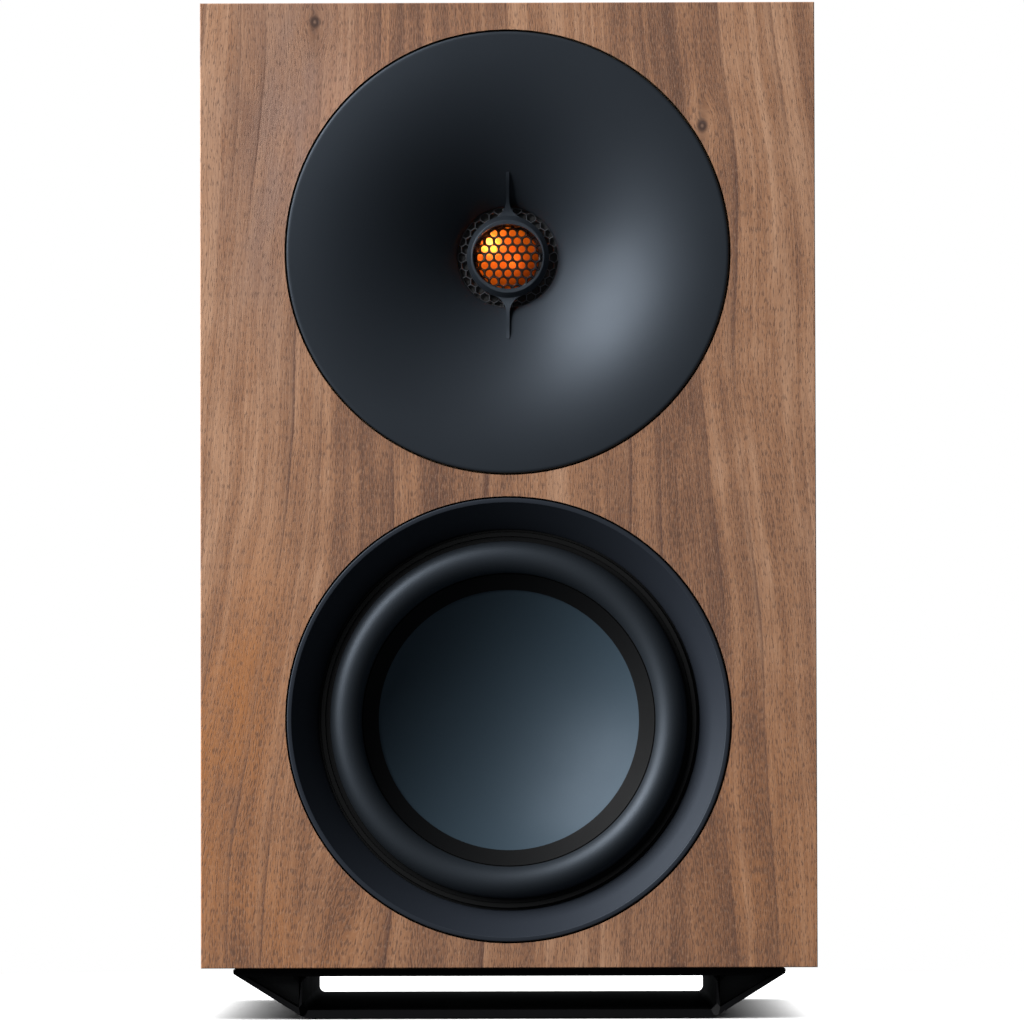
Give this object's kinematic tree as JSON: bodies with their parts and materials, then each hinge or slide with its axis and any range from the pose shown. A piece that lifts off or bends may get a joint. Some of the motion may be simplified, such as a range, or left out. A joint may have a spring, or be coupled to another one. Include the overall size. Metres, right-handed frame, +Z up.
{
  "type": "bookshelf speaker",
  "caption": "Bookshelf loudspeaker: walnut-veneered box with a large round horn round a dome tweeter above a dish-cone woofer, on a low tapered foot, with clamping posts and a port behind.",
  "frame": {"origin": "on the floor, under the middle of the cabinet's width and depth", "axes": "+X to the listener's right, +Y from the front baffle to the back, +Z up"},
  "size_m": [0.246, 0.29, 0.4066],
  "materials": {
    "walnut_veneer": "satin oiled",
    "mdf_board": "raw",
    "felt_wadding": "matt",
    "horn_satin_black": "satin paint",
    "trim_satin_black": "satin paint",
    "grille_black": "matt paint",
    "dome_gold": "gold anodised",
    "surround_cloth": "coated",
    "surround_rubber": "matt",
    "cone_satin": "satin",
    "spider_cloth": "impregnated",
    "former_film": "plain",
    "copper_wire": "enamelled",
    "basket_alloy": "powder coated",
    "plated_steel": "zinc plated",
    "ferrite": "ground",
    "black_screw_steel": "black oxide",
    "moulded_black": "moulded",
    "foam_gasket": "foam",
    "post_brass": "gold plated",
    "cap_red": "moulded",
    "cap_black": "moulded",
    "circuit_board": "solder resist",
    "inductor_winding": "enamelled wire",
    "capacitor_film": "film wrap",
    "wire_insulation": "PVC",
    "foot_alloy": "satin powder coat",
    "foot_rubber": "matt"
  },
  "bodies": {
    "cabinet": {"air_core_inductor": "inductor_winding", "back_panel": "mdf_board", "back_veneer": "walnut_veneer", "black_post": "post_brass", "bottom_panel": "mdf_board", "crossover_board": "circuit_board", "crossover_capacitors": "capacitor_film", "damping_wadding": "felt_wadding", "foot_end_plugs": "moulded_black", "foot_frame": "foot_alloy", "foot_pad": "foot_rubber", "foot_screws": "black_screw_steel", "front_baffle": "mdf_board", "front_veneer": "walnut_veneer", "honeycomb_grille": "grille_black", "iron_core_inductor": "inductor_winding", "left_panel": "mdf_board", "phase_ring": "trim_satin_black", "port_tube": "moulded_black", "post_nuts": "post_brass", "red_post": "post_brass", "right_panel": "mdf_board", "terminal_cup": "moulded_black", "terminal_gasket": "foam_gasket", "terminal_screws": "black_screw_steel", "top_panel": "mdf_board", "tweeter_faceplate": "moulded_black", "tweeter_magnet": "ferrite", "tweeter_rear_cup": "moulded_black", "tweeter_screws": "black_screw_steel", "tweeter_surround": "surround_cloth", "tweeter_top_plate": "plated_steel", "tweeter_wires": "wire_insulation", "tweeter_yoke": "plated_steel", "waveguide": "horn_satin_black", "waveguide_screws": "black_screw_steel", "window_brace": "mdf_board", "woofer_basket": "basket_alloy", "woofer_gasket": "foam_gasket", "woofer_magnet": "ferrite", "woofer_screws": "black_screw_steel", "woofer_spider": "spider_cloth", "woofer_surround": "surround_rubber", "woofer_terminals": "moulded_black", "woofer_top_plate": "plated_steel", "woofer_trim_ring": "trim_satin_black", "woofer_wires": "wire_insulation", "woofer_yoke": "plated_steel", "wrap_veneer": "walnut_veneer"},
    "woofer_cone_assembly": {"woofer_cone": "cone_satin", "woofer_former": "former_film", "woofer_coil": "copper_wire"},
    "tweeter_dome_assembly": {"tweeter_dome": "dome_gold", "tweeter_former": "former_film", "tweeter_coil": "copper_wire"},
    "red_clamp_washer": {"red_washer": "post_brass"},
    "red_clamp_cap": {"red_cap": "cap_red"},
    "black_clamp_washer": {"black_washer": "post_brass"},
    "black_clamp_cap": {"black_cap": "cap_black"}
  },
  "joints": [
    {"name": "woofer_cone_travel", "type": "slide", "parent": "cabinet", "child": "woofer_cone_assembly", "axis": [0, 1, 0], "range_m": [-0.006, 0.006], "stiffness_N_per_m": 1100, "deforming": ["woofer_surround", "woofer_spider"]},
    {"name": "tweeter_dome_travel", "type": "slide", "parent": "cabinet", "child": "tweeter_dome_assembly", "axis": [0, 1, 0], "range_m": [-0.0005, 0.0005], "stiffness_N_per_m": 150, "deforming": ["tweeter_surround"]},
    {"name": "red_clamp_travel", "type": "slide", "parent": "cabinet", "child": "red_clamp_washer", "axis": [0, 1, 0], "range_m": [0, 0.00501]},
    {"name": "red_cap_turn", "type": "hinge", "parent": "red_clamp_washer", "child": "red_clamp_cap", "pos_m": [0.014, 0.131, 0.0966], "axis": [0, 1, 0], "range_deg": [0, 1800]},
    {"name": "black_clamp_travel", "type": "slide", "parent": "cabinet", "child": "black_clamp_washer", "axis": [0, 1, 0], "range_m": [0, 0.00501]},
    {"name": "black_cap_turn", "type": "hinge", "parent": "black_clamp_washer", "child": "black_clamp_cap", "pos_m": [-0.014, 0.131, 0.0966], "axis": [0, 1, 0], "range_deg": [0, 1800]}
  ],
  "couplings": [
    {"joint": "red_clamp_travel", "follows": "red_cap_turn", "m_per_rad": 0.00015915},
    {"joint": "black_clamp_travel", "follows": "black_cap_turn", "m_per_rad": 0.00015915}
  ]
}
